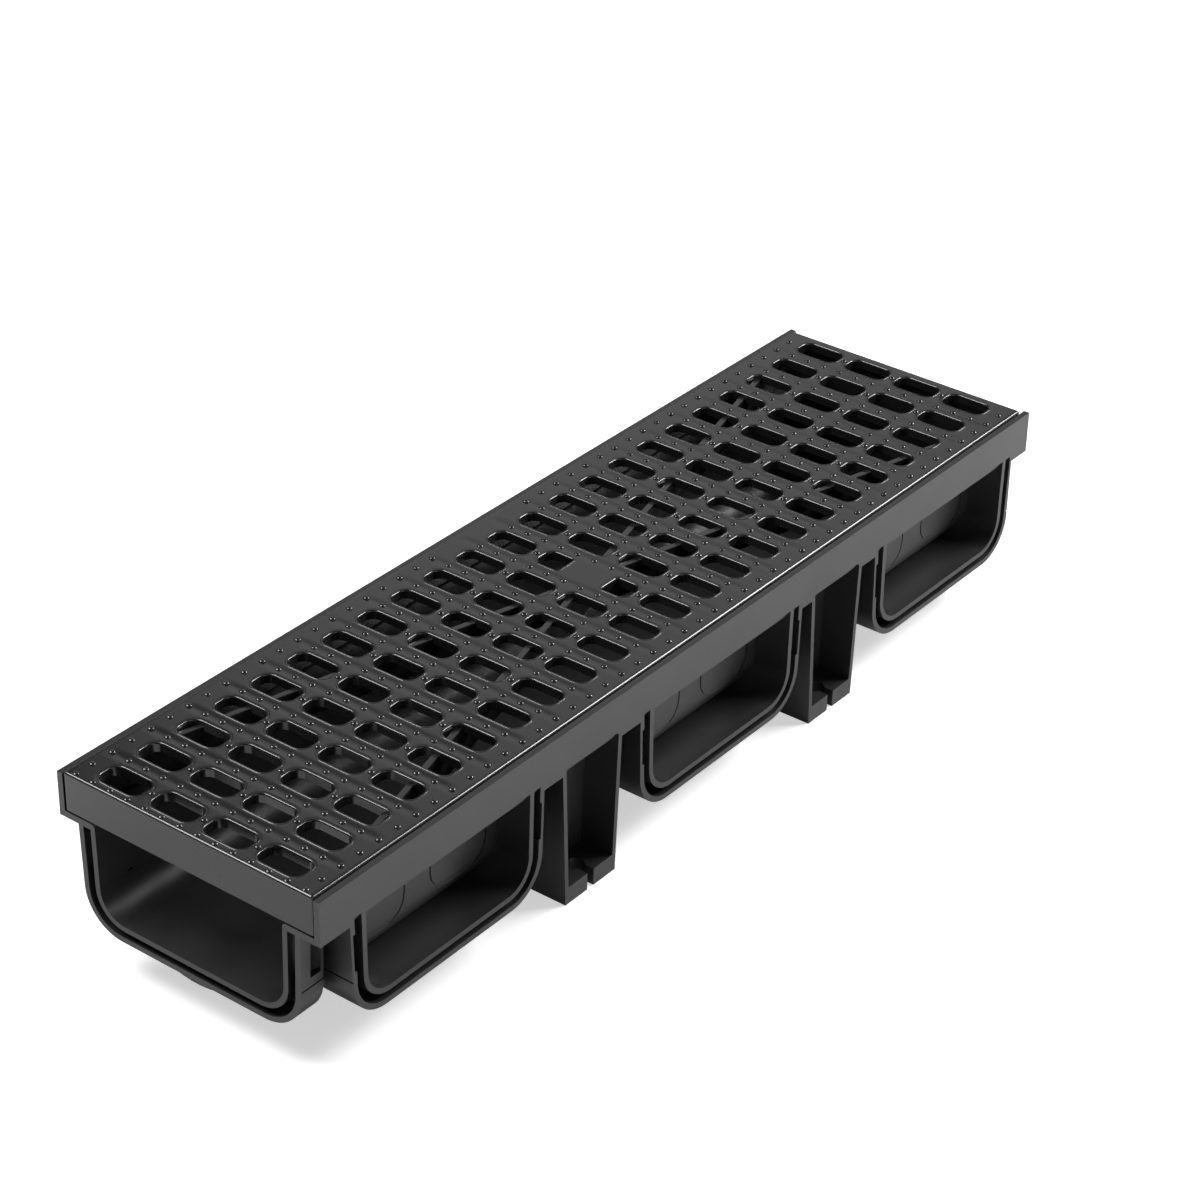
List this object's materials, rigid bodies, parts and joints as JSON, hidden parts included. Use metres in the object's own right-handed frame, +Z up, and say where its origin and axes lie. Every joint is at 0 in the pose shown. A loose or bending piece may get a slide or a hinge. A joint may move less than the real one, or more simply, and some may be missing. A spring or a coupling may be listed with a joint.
{
  "type": "channel drain",
  "caption": "Half-metre drainage channel in dark moulded plastic with side ports, open-fronted legs and a slotted drop-in grate.",
  "frame": {"origin": "centre of the whole part's footprint, on the plane the four feet stand on", "axes": "+X along the channel from the end where the grate lies flush to the end where it stops short, +Y across the channel, +Z up"},
  "size_m": [0.51, 0.14, 0.09],
  "materials": {
    "channel_plastic": "satin moulded polypropylene, dark charcoal",
    "grate_plastic": "satin moulded polypropylene, near black"
  },
  "bodies": {
    "root": {"channel_body": "channel_plastic", "grate": "grate_plastic"}
  },
  "joints": []
}
